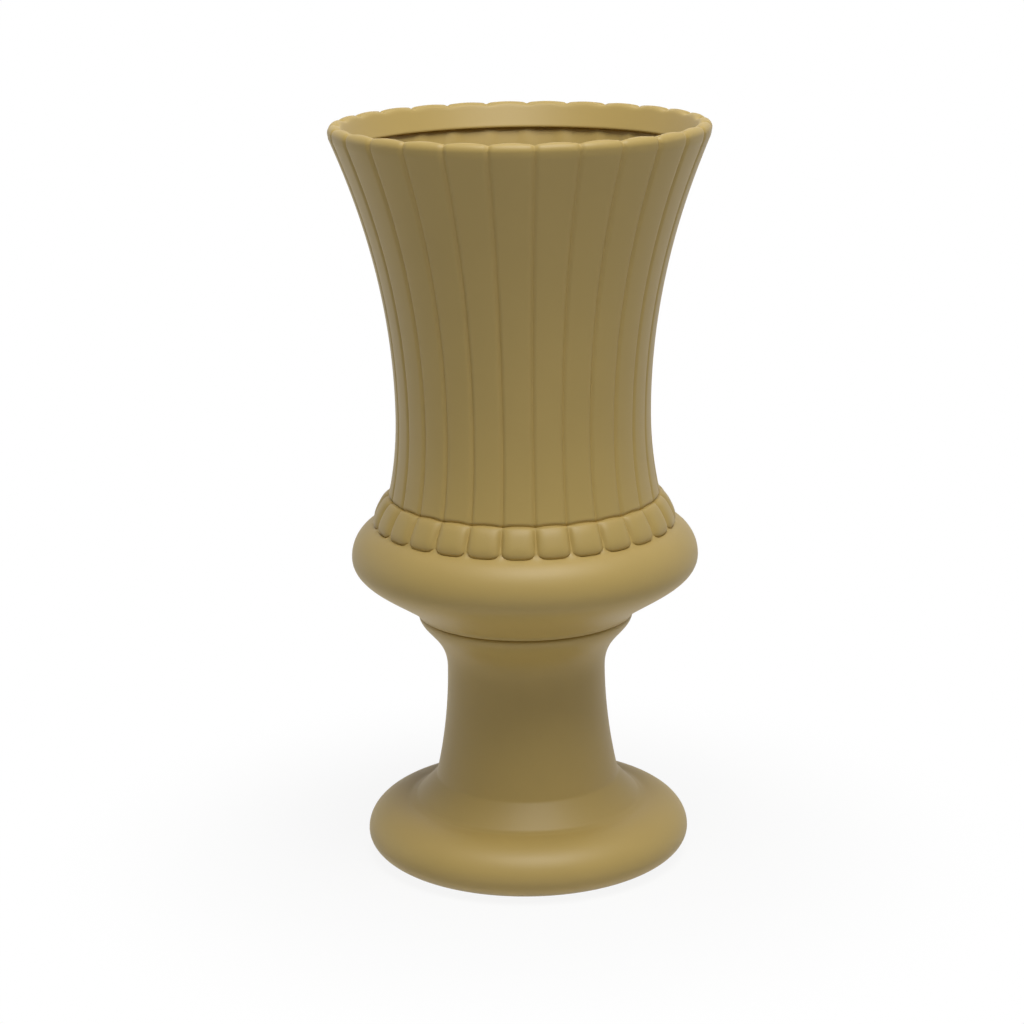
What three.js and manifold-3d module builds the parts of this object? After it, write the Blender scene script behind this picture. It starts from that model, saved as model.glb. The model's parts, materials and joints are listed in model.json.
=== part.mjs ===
// Fluted urn planter, 600 mm tall: a hollow moulded bowl bolted to a hollow moulded pedestal.
// Millimetres, +Z up. The origin is on the floor, on the urn's axis. The middle of one flute faces -Y.

import * as THREE from 'three';
import { mergeVertices } from 'three/addons/utils/BufferGeometryUtils.js';
import Module from 'manifold-3d';

const wasm = await Module();
wasm.setup();

// ---------------------------------------------------------------- driving dimensions

const HEIGHT = 600;
const RIM_RADIUS = 149.5;
const FLUTES = 27;
const WALL = 3.5; // bowl's moulded wall
const STAND_WALL = 4; // pedestal's moulded wall
const SEAT_GAP = 0.3; // between pieces that touch

// Rim: a thick rounded lip, scalloped by the flutes, with a smooth collar that slopes in and down from it
const LIP_WIDTH = 11.5;
const COLLAR_EDGE = new THREE.Vector2(127, 582); // the collar's lower edge, as radius and height
const COLLAR_THICK = 2;
const THICK_FROM = 538; // from here up to the collar the wall thickens
const THICKENING = 9;
const RIM_SCALLOP = 2.2; // how far the lip's crown sinks between two flutes
// Places round the lip, in degrees from straight out, and the share of the scallop at each
const LIP_STEPS = [[141, 0.4], [115, 0.9], [90, 0.9], [55, 0.5], [18, 0.35]];
const LIP_END = 13; // below the top, where the lip has run out into the fluted wall

// Fluted wall: a parabola out from the waist to the rim, and a flatter one down to the beads
const WAIST_RADIUS = 101.9;
const WAIST_Z = 368;
const FLARE_UP = 9.56e-4; // widening per square millimetre above the waist
const FLARE_DOWN = 1.67e-3; // and below it
const GROOVE_DEPTH = 1.6;
const PANEL_CROWN = 0.35; // each flute's panel is slightly rounded
const INNER_WAVE = 1.2; // how far the inner face stands in behind a groove

// Bead band: one pillow under each flute, on the belly's shoulder
const BEAD_TOP = new THREE.Vector2(109.4, 301.5);
const BEAD_FOOT = new THREE.Vector2(120.6, 279.6);
const BEAD_BULGE = 4.2;
// Places down a bead, as shares of its length, and the share of the bulge at each
const BEAD_STEPS = [[0, -0.35], [0.14, 0.66], [0.5, 1], [0.86, 0.76], [1, 0]];
const BEAD_VALLEY = 0.9; // share of the bulge that is lost between two beads
const BEAD_EDGE = 0.24; // and at the edge of a bead's face
const BEAD_CORNER = 2.6; // how far a bead's lower corners are cut back
const CREASE_ARCH = 1.3; // rise of the crease over the middle of each bead

// Belly
const BELLY_RADIUS = 139.6;
const BELLY_Z = 252.5;
const BELLY_ROUND = 27.6; // how far the shoulder's quarter ellipse runs in from the widest line
const BELLY_RISE = 28.5;
// Its underside sweeps in from the widest line to a turn, then tucks down to the seam
const BELLY_TURN = new THREE.Vector2(99.1, 215);
const BELLY_DROP = 14.9; // this and the two points below are the handles of those curves
const BELLY_PULL = new THREE.Vector2(122.7, 230.3);
const TUCK_PULL = new THREE.Vector2(90.9, 209.7);

// Seam between bowl and pedestal
const SEAM_Z = 204.5;
const SEAM_RADIUS = 88.8;
const FLOOR = 4; // thickness of the bowl's floor and the pedestal's top plate
const SPIGOT_RADIUS = 59.7; // round boss under the bowl that centres it in the pedestal
const SPIGOT_DEPTH = 6.2;
const SPIGOT_DRAFT = 0.5; // half the taper of its side
const LEDGE_RADIUS = 84; // where the bowl's floor meets the inside of its belly

// Pedestal
const COLLAR_RADIUS = 87.4;
const COVE_PULLS = [new THREE.Vector2(84.5, 190.5), new THREE.Vector2(64.4, 184)]; // of the cove's curve
const STEM_RADIUS = 64.1; // narrowest
const STEM_Z = 158;
const STEM_FLARE = 1.24e-3;
const STEM_FOOT_Z = 65.4;
const STEP_RADIUS = 91.9;
const STEP_Z = 47.1;
const FOOT_RADIUS = 131.6;
const FOOT_Z = 19.7; // widest line of the foot
const FOOT_ROUND = 32.9;
const FOOT_CROWN = 25.4;
const FOOT_TUCK = 20.5;
const BASE_Z = 2.4; // underside of the foot's flange
const FLANGE_INNER = 86;
const FLANGE_OUTER = 116.7; // where the flange's top meets the inside of the foot
const TOP_ROUND = 1; // of the pedestal's top edge, at the seam
const TOP_FILLET = 3; // inside, under the top plate

// Drains, in a ring round the bolt
const DRAINS = 3;
const DRAIN_CIRCLE = 36;
const DRAIN_RADIUS = 6;
const PLATE_DRAIN_RADIUS = 10;

// Clamp bolt, M8
const BOLT_RADIUS = 4;
const BOLT_HOLE = 4.5;
const BOLT_LENGTH = 25;
const BOLT_POINT = 1; // chamfer at the end of the shank
const HEX_ACROSS = 13;
const HEX_HEIGHT = 5.3;
const HEX_CHAMFER = 0.9; // how far down the head's corners are trimmed
const STEEL_WASHER = { outer: 12, hole: 4.3, thick: 1.6 };
const RUBBER_WASHER = { outer: 14, hole: 4.3, thick: 2.5 };
// The wings leave the hub between rootTop and rootFoot, and reach out to span and down to drop.
const WING_NUT = {
  hub: 8, foot: 6.4, height: 8, thick: 3, rootTop: 1.6, rootFoot: 6.8, span: 19, drop: 13,
};
const WING_ROUND = 4;

// Drain plugs: the stem goes down the drain, the flange lies on the floor, and the grip stands up
const PLUG = {
  stem: 7.5, taper: 1.2, flange: 9.5, flangeTop: 2.6, neck: 2.9, neckTop: 8, grip: 4.6, top: 13,
};
const PLUG_ROUND = 0.8;

// Push-in foot pads
const PADS = 4;
const PAD_CIRCLE = 101;
const PAD = { radius: 10, round: 0.8, stem: 3, barb: 4.2, point: 2, rise: 2.7 };

// Facets
const COARSE = 2; // columns a flute on smooth faces
const SMALL_SEGMENTS = 16; // round the fasteners and the drilled holes
const RUBBER_SEGMENTS = 12; // round the plugs and pads
const EDGE = 0.41; // where a flute's panel turns down into its groove, as a share of its width
const LIP_EDGE = 0.25; // the same place on the lip, where the scallop is halfway down
const CLEAR = 1; // how far a cutting tool reaches past what it cuts

// ---------------------------------------------------------------- materials

const mouldedPlastic = new THREE.MeshStandardMaterial({ color: 0xb09a5e, roughness: 0.62, metalness: 0 });
const zincSteel = new THREE.MeshStandardMaterial({ color: 0xb9bcbd, roughness: 0.35, metalness: 1 });
const blackRubber = new THREE.MeshStandardMaterial({ color: 0x24241f, roughness: 0.85, metalness: 0 });

// ---------------------------------------------------------------- solids

function toSolid(geometry) {
  const bare = geometry.clone();
  bare.deleteAttribute('normal');
  bare.deleteAttribute('uv');
  const merged = mergeVertices(bare, 1e-4);
  return new wasm.Manifold(new wasm.Mesh({
    numProp: 3,
    vertProperties: Float32Array.from(merged.attributes.position.array),
    triVerts: Uint32Array.from(merged.index.array),
  }));
}

function toGeometry(solid) {
  const mesh = solid.getMesh();
  const geometry = new THREE.BufferGeometry();
  geometry.setAttribute('position', new THREE.BufferAttribute(mesh.vertProperties, 3));
  geometry.setIndex(new THREE.BufferAttribute(mesh.triVerts, 1));
  geometry.computeVertexNormals();
  return geometry;
}

// Turns a closed (radius, height) outline, listed anticlockwise with radius to the right, about +Z.
function turned(outline, segments) {
  const closed = [...outline, outline[0]];
  const geometry = new THREE.LatheGeometry(closed.map(([r, z]) => new THREE.Vector2(r, z)), segments);
  return geometry.rotateX(Math.PI / 2);
}

function upright(radius, bottom, top, segments) {
  const geometry = new THREE.CylinderGeometry(radius, radius, top - bottom, segments);
  return geometry.rotateX(Math.PI / 2).translate(0, 0, (top + bottom) / 2);
}

function drill([x, y], radius, bottom, top) {
  return upright(radius, bottom, top, SMALL_SEGMENTS).translate(x, y, 0);
}

function cut(body, tools) {
  return toGeometry(tools.reduce((solid, tool) => solid.subtract(toSolid(tool)), toSolid(body)));
}

// The same line moved sideways, to the left of its direction.
function offsetLine(points, distance) {
  return points.map((point, i) => {
    const before = points[Math.max(0, i - 1)];
    const after = points[Math.min(points.length - 1, i + 1)];
    const along = after.clone().sub(before).normalize();
    return new THREE.Vector2(point.x - along.y * distance, point.y + along.x * distance);
  });
}

// ---------------------------------------------------------------- rings and lofts

// A ring of points round the axis, at given shares of each flute. place(share) gives (radius, height).
function ring(shares, place) {
  const points = [];
  for (let flute = 0; flute < FLUTES; flute += 1) {
    for (const share of shares) {
      const angle = ((flute + share) / FLUTES) * 2 * Math.PI;
      const { x: radius, y: height } = place(share);
      points.push(new THREE.Vector3(radius * Math.sin(angle), -radius * Math.cos(angle), height));
    }
  }
  return points;
}

const GROOVE = -0.5; // a flute runs from one groove to the next
const FLUTED_SHARES = [GROOVE, -EDGE, 0, EDGE];
const LIP_SHARES = [GROOVE, -LIP_EDGE, 0, LIP_EDGE];
const SMOOTH_SHARES = [GROOVE, 0];
const SPARSE_SHARES = [GROOVE];

// One value in the groove, another where the panel turns down into it, and 0 in the middle of the flute.
function across(share, valley, edge) {
  if (share === GROOVE) return valley;
  return share === 0 ? 0 : edge;
}

function smoothRing(point) {
  return ring(SMOOTH_SHARES, () => point);
}

// The back of the flutes: the wall stands inward behind each groove.
function wavyRing(point, wave) {
  return ring(SMOOTH_SHARES, (share) => new THREE.Vector2(point.x - (share === 0 ? 0 : wave), point.y));
}

// Joins two rings whose counts are equal or a whole number of times each other.
function stitch(first, second, triangles) {
  const flip = first.length < second.length;
  const [fine, rough] = flip ? [second, first] : [first, second];
  const ratio = fine.length / rough.length;
  const add = (a, b, c) => triangles.push(...(flip ? [a, b, c] : [a, c, b]));
  for (let j = 0; j < rough.length; j += 1) {
    const here = rough[j];
    const next = rough[(j + 1) % rough.length];
    const fineAt = (i) => fine[(j * ratio + i) % fine.length];
    const middle = Math.ceil(ratio / 2);
    for (let i = 0; i < ratio; i += 1) {
      if (i === middle) add(here, fineAt(middle), next);
      add(i < middle ? here : next, fineAt(i), fineAt(i + 1));
    }
    if (middle === ratio) add(here, fineAt(ratio), next);
  }
}

// A closed body through rings that come back to the first one.
function loft(rings) {
  const triangles = [];
  rings.forEach((points, i) => stitch(points, rings[(i + 1) % rings.length], triangles));
  const geometry = new THREE.BufferGeometry().setFromPoints(triangles);
  return mergeVertices(geometry, 1e-4);
}

// ---------------------------------------------------------------- bowl

function wallRadius(z) {
  const flare = z > WAIST_Z ? FLARE_UP : FLARE_DOWN;
  return WAIST_RADIUS + flare * (z - WAIST_Z) ** 2;
}

function wallNormal(z) {
  const flare = z > WAIST_Z ? FLARE_UP : FLARE_DOWN;
  return new THREE.Vector2(1, -2 * flare * (z - WAIST_Z)).normalize();
}

// The inner face follows the outside at an even distance, and stands further in under the collar.
function innerRadius(z) {
  const share = Math.max(0, z - THICK_FROM) / (COLLAR_EDGE.y - THICK_FROM);
  return wallRadius(z) - WALL - THICKENING * share;
}

function levels(from, to, steps) {
  return Array.from({ length: steps }, (_, i) => from + ((to - from) * i) / steps);
}

// The lip is a half round over its width. It sinks towards its middle between the flutes.
function lipRings() {
  const half = LIP_WIDTH / 2;
  const centre = new THREE.Vector2(RIM_RADIUS - half, HEIGHT - half);
  return LIP_STEPS.map(([degrees, strength]) => {
    const turn = THREE.MathUtils.degToRad(degrees);
    const normal = new THREE.Vector2(Math.cos(turn), Math.sin(turn));
    return ring(LIP_SHARES, (share) => {
      const sink = RIM_SCALLOP * strength * (0.5 - 0.5 * Math.cos(2 * Math.PI * share));
      return centre.clone().addScaledVector(normal, half - sink);
    });
  });
}

// Each flute ends at a crease that arches up in its middle.
function creaseRise(share) {
  return CREASE_ARCH * (1 - (2 * share) ** 2);
}

function wallRing(level, rise) {
  return ring(FLUTED_SHARES, (share) => {
    const z = level + rise(share);
    const drop = across(share, GROOVE_DEPTH, PANEL_CROWN);
    return new THREE.Vector2(wallRadius(z), z).addScaledVector(wallNormal(z), -drop);
  });
}

function wallRings() {
  const heights = [...levels(HEIGHT - LIP_END, WAIST_Z, 5), ...levels(WAIST_Z, BEAD_TOP.y, 3)];
  return [...heights.map((z) => wallRing(z, () => 0)), wallRing(BEAD_TOP.y + SEAT_GAP, creaseRise)];
}

// Each bead swells from the crease under the flutes to the crease on the belly.
function beadRings() {
  const run = BEAD_FOOT.clone().sub(BEAD_TOP);
  const length = run.length();
  const way = run.clone().normalize();
  const normal = new THREE.Vector2(-way.y, way.x);
  return BEAD_STEPS.map(([along, swell]) => ring(FLUTED_SHARES, (share) => {
    const top = -creaseRise(share);
    const foot = length - across(share, BEAD_CORNER, 0);
    const height = BEAD_BULGE * swell * (swell > 0 ? 1 - across(share, BEAD_VALLEY, BEAD_EDGE) : 1);
    const reach = top + (foot - top) * along;
    return BEAD_TOP.clone().addScaledVector(way, reach).addScaledVector(normal, height);
  }));
}

// Widest line of the belly in to the seam, as seen from outside.
function bellyLine(steps) {
  const start = Math.acos((BEAD_FOOT.x - (BELLY_RADIUS - BELLY_ROUND)) / BELLY_ROUND);
  const shoulder = new THREE.EllipseCurve(
    BELLY_RADIUS - BELLY_ROUND, BELLY_Z, BELLY_ROUND, BELLY_RISE, start, 0, true,
  );
  const under = new THREE.CubicBezierCurve(
    new THREE.Vector2(BELLY_RADIUS, BELLY_Z),
    new THREE.Vector2(BELLY_RADIUS, BELLY_Z - BELLY_DROP),
    BELLY_PULL,
    BELLY_TURN,
  );
  const tuck = new THREE.QuadraticBezierCurve(BELLY_TURN, TUCK_PULL, new THREE.Vector2(SEAM_RADIUS, SEAM_Z));
  return [
    ...shoulder.getPoints(steps.shoulder).slice(1),
    ...under.getPoints(steps.under).slice(1),
    ...tuck.getPoints(steps.tuck).slice(1),
  ];
}

function bowlGeometry() {
  const floorUnder = SEAM_Z - SPIGOT_DEPTH;
  const floorTop = floorUnder + FLOOR;
  const ledge = SEAM_Z + FLOOR; // the floor's outer ring, above the pedestal's top plate
  const collarFoot = COLLAR_EDGE.y - COLLAR_THICK;
  // The inner face of the belly stops at the ledge, short of the seam
  const outerBelly = [BEAD_FOOT, ...bellyLine({ shoulder: 3, under: 3, tuck: 1 }).slice(0, -1)];
  const innerBelly = offsetLine(outerBelly, -WALL).reverse();
  const innerHeights = [
    ...levels(BEAD_TOP.y, WAIST_Z, 2), ...levels(WAIST_Z, THICK_FROM, 4), THICK_FROM, collarFoot,
  ];
  const drainTool = (site) => drill(site, DRAIN_RADIUS, floorUnder - CLEAR, floorTop + CLEAR);
  const body = loft([
    ...lipRings(),
    ...wallRings(),
    ...beadRings(),
    ...bellyLine({ shoulder: 4, under: 5, tuck: 2 }).map(smoothRing),
    smoothRing(new THREE.Vector2(SPIGOT_RADIUS + SPIGOT_DRAFT, SEAM_Z)),
    smoothRing(new THREE.Vector2(SPIGOT_RADIUS - SPIGOT_DRAFT, floorUnder)),
    ring(SPARSE_SHARES, () => new THREE.Vector2(BOLT_HOLE, floorUnder)),
    ring(SPARSE_SHARES, () => new THREE.Vector2(BOLT_HOLE, floorTop)),
    smoothRing(new THREE.Vector2(SPIGOT_RADIUS - FLOOR - SPIGOT_DRAFT, floorTop)),
    smoothRing(new THREE.Vector2(SPIGOT_RADIUS - FLOOR + SPIGOT_DRAFT, ledge)),
    smoothRing(new THREE.Vector2(LEDGE_RADIUS, ledge)),
    ...innerBelly.map(smoothRing),
    ...innerHeights.map((z) => wavyRing(new THREE.Vector2(innerRadius(z), z), INNER_WAVE)),
    smoothRing(new THREE.Vector2(COLLAR_EDGE.x, collarFoot)),
    smoothRing(COLLAR_EDGE),
  ]);
  return cut(body, drainSites().map(drainTool));
}

function aroundAxis(count, radius, start) {
  return Array.from({ length: count }, (_, i) => {
    const angle = start + (i / count) * 2 * Math.PI;
    return [radius * Math.cos(angle), radius * Math.sin(angle)];
  });
}

function drainSites() {
  return aroundAxis(DRAINS, DRAIN_CIRCLE, -Math.PI / 2);
}

function padSites() {
  return aroundAxis(PADS, PAD_CIRCLE, Math.PI / 4);
}

// ---------------------------------------------------------------- pedestal

function stemRadius(z) {
  return STEM_RADIUS + STEM_FLARE * (z - STEM_Z) ** 2;
}

// From the seam down the cove, the stem, the sloping step and the rounded foot.
function standLine(steps) {
  const top = SEAM_Z - SEAT_GAP;
  const cove = new THREE.CubicBezierCurve(
    new THREE.Vector2(COLLAR_RADIUS, top - TOP_ROUND),
    ...COVE_PULLS,
    new THREE.Vector2(STEM_RADIUS, STEM_Z),
  );
  const stem = [...levels(STEM_Z, STEM_FOOT_Z, steps.stem).slice(1), STEM_FOOT_Z];
  const centre = FOOT_RADIUS - FOOT_ROUND;
  const crown = new THREE.EllipseCurve(centre, FOOT_Z, FOOT_ROUND, FOOT_CROWN, Math.PI / 2, 0, true);
  const tuckEnd = Math.asin((FOOT_Z - BASE_Z) / FOOT_TUCK);
  const tuck = new THREE.EllipseCurve(centre, FOOT_Z, FOOT_ROUND, FOOT_TUCK, 0, -tuckEnd, true);
  return [
    ...cove.getPoints(steps.cove),
    ...stem.map((z) => new THREE.Vector2(stemRadius(z), z)),
    new THREE.Vector2(STEP_RADIUS, STEP_Z),
    ...crown.getPoints(steps.crown),
    ...tuck.getPoints(steps.tuck).slice(1),
  ];
}

function pedestalGeometry() {
  const top = SEAM_Z - SEAT_GAP;
  const topUnder = top - FLOOR;
  const recess = SEAM_Z - SPIGOT_DEPTH - SEAT_GAP; // where the bowl's spigot rests
  const recessUnder = recess - FLOOR;
  const socket = SPIGOT_RADIUS + SEAT_GAP;
  const flangeTop = BASE_Z + STAND_WALL;
  const outer = standLine({ cove: 5, stem: 3, crown: 5, tuck: 2 }).reverse();
  // The inner face runs from under the top plate down to the foot's flange
  const inner = offsetLine(standLine({ cove: 3, stem: 2, crown: 3, tuck: 2 }), -STAND_WALL)
    .filter(({ y }) => y < topUnder - CLEAR && y > flangeTop + CLEAR);
  const outline = [
    [BOLT_HOLE, recessUnder],
    [socket + FLOOR, recessUnder],
    [socket + FLOOR, topUnder],
    [COLLAR_RADIUS - STAND_WALL - TOP_FILLET, topUnder],
    ...inner.map(({ x, y }) => [x, y]),
    [FLANGE_OUTER, flangeTop],
    [FLANGE_INNER, flangeTop],
    [FLANGE_INNER, BASE_Z],
    ...outer.map(({ x, y }) => [x, y]),
    [COLLAR_RADIUS - TOP_ROUND, top],
    [socket + SPIGOT_DRAFT, top],
    [socket, recess],
    [BOLT_HOLE, recess],
  ];
  const drainTool = (site) => drill(site, PLATE_DRAIN_RADIUS, recessUnder - CLEAR, recess + CLEAR);
  const padTool = (site) => drill(site, PAD.stem + SEAT_GAP, BASE_Z - CLEAR, flangeTop + CLEAR);
  const tools = [...drainSites().map(drainTool), ...padSites().map(padTool)];
  return cut(turned(outline, FLUTES * COARSE), tools);
}

// ---------------------------------------------------------------- fasteners, plugs and pads

function washerGeometry({ outer, hole, thick }) {
  return turned([[hole, 0], [outer, 0], [outer, thick], [hole, thick]], SMALL_SEGMENTS);
}

// Hex head on top, with trimmed corners, and the shank hanging down from the head's underside at z = 0.
function boltGeometry() {
  const flat = HEX_ACROSS / 2;
  const corner = HEX_ACROSS / Math.sqrt(3);
  const hexagon = toSolid(upright(corner, 0, HEX_HEIGHT, 6));
  const trim = toSolid(turned([
    [0, -CLEAR], [corner, -CLEAR], [corner, HEX_HEIGHT - HEX_CHAMFER], [flat, HEX_HEIGHT], [0, HEX_HEIGHT],
  ], SMALL_SEGMENTS * 3));
  const shank = toSolid(turned([
    [0, -BOLT_LENGTH],
    [BOLT_RADIUS - BOLT_POINT, -BOLT_LENGTH],
    [BOLT_RADIUS, BOLT_POINT - BOLT_LENGTH],
    [BOLT_RADIUS, CLEAR],
    [0, CLEAR],
  ], SMALL_SEGMENTS));
  return toGeometry(hexagon.intersect(trim).add(shank));
}

// A round hub, its top at z = 0, with two wings that sweep down and out from it.
function wingNutGeometry() {
  const { hub, foot, height, thick, rootTop, rootFoot, span, drop } = WING_NUT;
  const wing = new THREE.Shape();
  wing.moveTo(0, -rootTop);
  wing.lineTo(foot, -rootTop);
  wing.quadraticCurveTo(span - WING_ROUND, -height / 2, span, -height);
  wing.quadraticCurveTo(span, -drop, span - WING_ROUND, -drop);
  wing.quadraticCurveTo(hub, -drop, foot, -rootFoot);
  wing.lineTo(0, -rootFoot);
  wing.closePath();
  const blade = new THREE.ExtrudeGeometry(wing, { depth: thick, bevelEnabled: false, curveSegments: 4 })
    .translate(0, 0, -thick / 2).rotateX(Math.PI / 2);
  const cone = turned([[0, -height], [foot, -height], [hub, 0], [0, 0]], SMALL_SEGMENTS);
  const wings = toSolid(blade).add(toSolid(blade.clone().rotateZ(Math.PI)));
  const bore = upright(BOLT_RADIUS + SEAT_GAP, -height - CLEAR, CLEAR, SMALL_SEGMENTS);
  return toGeometry(toSolid(cone).add(wings).subtract(toSolid(bore)));
}

// Soft stopper: a tapered stem, a sealing flange that lies on the floor at z = 0, and a waisted grip.
function drainPlugGeometry() {
  const { stem, taper, flange, flangeTop, neck, neckTop, grip, top } = PLUG;
  const snug = DRAIN_RADIUS - SEAT_GAP;
  return turned([
    [0, -stem],
    [snug - taper, -stem],
    [snug, SEAT_GAP],
    [flange, SEAT_GAP],
    [flange - PLUG_ROUND, flangeTop],
    [neck + PLUG_ROUND, flangeTop + PLUG_ROUND],
    [neck, neckTop],
    [grip, top - 2 * PLUG_ROUND],
    [grip - PLUG_ROUND, top],
    [0, top],
  ], RUBBER_SEGMENTS);
}

// Round pad under the flange with a barbed stem pushed up through it. z = 0 is the floor.
function footPadGeometry() {
  const headTop = BASE_Z - SEAT_GAP;
  const barbZ = BASE_Z + STAND_WALL + SEAT_GAP;
  const { radius, round, stem, barb, point, rise } = PAD;
  return turned([
    [0, 0],
    [radius - round, 0],
    [radius, round],
    [radius, headTop],
    [stem, headTop],
    [stem, barbZ],
    [barb, barbZ],
    [point, barbZ + rise],
    [0, barbZ + rise],
  ], RUBBER_SEGMENTS);
}

// ---------------------------------------------------------------- assembly

const urn = new THREE.Group();

function place(name, geometry, material, z = 0, [x, y] = [0, 0]) {
  const mesh = new THREE.Mesh(geometry, material);
  mesh.name = name;
  mesh.position.set(x, y, z);
  urn.add(mesh);
}

place('bowl', bowlGeometry(), mouldedPlastic);
place('pedestal', pedestalGeometry(), mouldedPlastic);

// The clamp stack, from the bowl's floor up, then from the plate's underside down
const floorTop = SEAM_Z - SPIGOT_DEPTH + FLOOR;
const sealZ = floorTop + SEAT_GAP;
const headWasherZ = sealZ + RUBBER_WASHER.thick + SEAT_GAP;
const headZ = headWasherZ + STEEL_WASHER.thick + SEAT_GAP;
const plateUnderside = SEAM_Z - SPIGOT_DEPTH - SEAT_GAP - FLOOR;
const nutWasherZ = plateUnderside - SEAT_GAP - STEEL_WASHER.thick;
place('seal_washer', washerGeometry(RUBBER_WASHER), blackRubber, sealZ);
place('head_washer', washerGeometry(STEEL_WASHER), zincSteel, headWasherZ);
place('clamp_bolt', boltGeometry(), zincSteel, headZ);
place('nut_washer', washerGeometry(STEEL_WASHER), zincSteel, nutWasherZ);
place('wing_nut', wingNutGeometry(), zincSteel, nutWasherZ - SEAT_GAP);

drainSites().forEach((site, i) => {
  place(`drain_plug_${i + 1}`, drainPlugGeometry(), blackRubber, floorTop, site);
});
padSites().forEach((site, i) => {
  place(`foot_pad_${i + 1}`, footPadGeometry(), blackRubber, 0, site);
});

export default urn;
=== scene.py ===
# %% [markdown]
# # A fluted urn planter
# The real object is a tall garden urn made of two hollow mouldings: a fluted bowl and a waisted pedestal.
# A bolt clamps them together inside, rubber plugs close the drains, and rubber pads keep the foot off the
# floor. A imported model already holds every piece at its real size. This lesson gives each piece its fine
# surface and its finish. Nothing here moves a piece: every mesh is built in the same frame, in metres, with
# +Z up.

import json
import math

import bmesh
import bpy
import numpy as np
from mathutils import Euler, Matrix, Vector
from mathutils.geometry import delaunay_2d_cdt

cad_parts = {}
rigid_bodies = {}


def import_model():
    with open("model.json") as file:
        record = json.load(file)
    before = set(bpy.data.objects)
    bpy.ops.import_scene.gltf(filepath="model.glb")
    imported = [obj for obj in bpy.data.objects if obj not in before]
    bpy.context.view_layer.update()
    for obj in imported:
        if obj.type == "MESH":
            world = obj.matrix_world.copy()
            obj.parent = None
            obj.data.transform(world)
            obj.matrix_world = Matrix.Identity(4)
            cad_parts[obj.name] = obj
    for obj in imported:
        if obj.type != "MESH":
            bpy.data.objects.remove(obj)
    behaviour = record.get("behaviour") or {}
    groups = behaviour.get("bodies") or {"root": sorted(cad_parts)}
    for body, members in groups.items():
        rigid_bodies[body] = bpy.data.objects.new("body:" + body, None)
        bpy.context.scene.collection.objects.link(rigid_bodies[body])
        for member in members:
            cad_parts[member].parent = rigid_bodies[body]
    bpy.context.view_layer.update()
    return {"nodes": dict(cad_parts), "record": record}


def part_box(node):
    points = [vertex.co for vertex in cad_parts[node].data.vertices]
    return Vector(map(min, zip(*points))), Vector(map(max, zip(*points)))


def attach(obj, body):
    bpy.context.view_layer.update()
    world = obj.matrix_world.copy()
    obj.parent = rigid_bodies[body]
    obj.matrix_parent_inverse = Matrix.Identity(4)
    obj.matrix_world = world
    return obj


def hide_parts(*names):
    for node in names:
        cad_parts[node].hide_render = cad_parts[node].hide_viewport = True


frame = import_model()

MM = 0.001
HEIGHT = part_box("bowl")[1].z / MM
SEAM_Z = 204.5  # where the bowl stands on the pedestal
FLUTES = 27

# %% [markdown]
# ## The camera
# The photograph was taken from a little above the rim. The height, distance and tilt below come from the
# shape of the rim, seam and foot ellipses, so the render has the same perspective. The camera is also turned
# a fraction about its own line of sight, because the urn leans slightly to the left in the picture.

# %% Place the camera
PICTURE = 1024  # pixels across the photograph
FOCAL_PIXELS = 2700.0
SENSOR = 36.0
CAMERA_DISTANCE = 2.1035  # metres from the urn's axis
CAMERA_HEIGHT = 0.8369  # metres above the floor
CAMERA_ROUND = math.radians(2.45)
LOOK_DOWN = math.radians(14.67)
LOOK_LEFT = math.radians(0.272)
ROLL = math.radians(-0.782)

camera_data = bpy.data.cameras.new("camera")
camera_data.sensor_fit = "HORIZONTAL"
camera_data.sensor_width = SENSOR
camera_data.lens = FOCAL_PIXELS / PICTURE * SENSOR
camera = bpy.data.objects.new("camera", camera_data)
bpy.context.scene.collection.objects.link(camera)
aim = Euler((math.pi / 2 - LOOK_DOWN, 0.0, CAMERA_ROUND + LOOK_LEFT)).to_matrix().to_4x4()
place = Matrix.Translation((
    CAMERA_DISTANCE * math.sin(CAMERA_ROUND),
    -CAMERA_DISTANCE * math.cos(CAMERA_ROUND),
    CAMERA_HEIGHT,
))
camera.matrix_world = place @ aim @ Matrix.Rotation(ROLL, 4, "Z")
bpy.context.scene.camera = camera
print("lens:", round(camera_data.lens, 2), "mm")

# %% [markdown]
# ## Curves for a turned outline
# Almost every surface of the urn is an outline turned about its axis. An outline is kept as rows of
# (radius, height) in millimetres. Three small helpers give straight stretches, smooth bends and arcs, so a
# profile reads like a drawing and holds only the points that its shape needs.

# %% Outline helpers
def line(start, end, count):
    """count points from start towards end, without the end itself."""
    t = np.linspace(0, 1, count, endpoint=False)[:, None]
    return np.array(start) * (1 - t) + np.array(end) * t


def bend(controls, count):
    """A Bezier curve between two end points, pulled by those between them. Without the end itself."""
    t = np.linspace(0, 1, count, endpoint=False)[:, None]
    degree = len(controls) - 1
    return sum(
        math.comb(degree, k) * t**k * (1 - t) ** (degree - k) * np.array(control)
        for k, control in enumerate(controls)
    )


def oval(centre, size, start, end, count):
    """Part of an ellipse, from one angle to another in degrees. Without the end itself."""
    angle = np.radians(np.linspace(start, end, count, endpoint=False))
    return np.stack([centre[0] + size[0] * np.cos(angle), centre[1] + size[1] * np.sin(angle)], 1)


def smooth_step(x, start, end):
    """0 up to start and 1 from end on, with a soft change between them. The end may be the lower value."""
    t = np.clip((x - start) / (end - start), 0, 1)
    return t * t * (3 - 2 * t)


# %% [markdown]
# ## A loft with relief
# The bowl is turned too, but its wall has 27 flutes. One way is to model a single flute and array it round
# the axis. Here a whole ring of points is laid for each row of the outline instead, and each point is pushed
# along the surface by a relief worked out from its place across the flute. Columns crowd together near the
# grooves, where the surface bends fastest, so the creases stay crisp with few faces.

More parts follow.
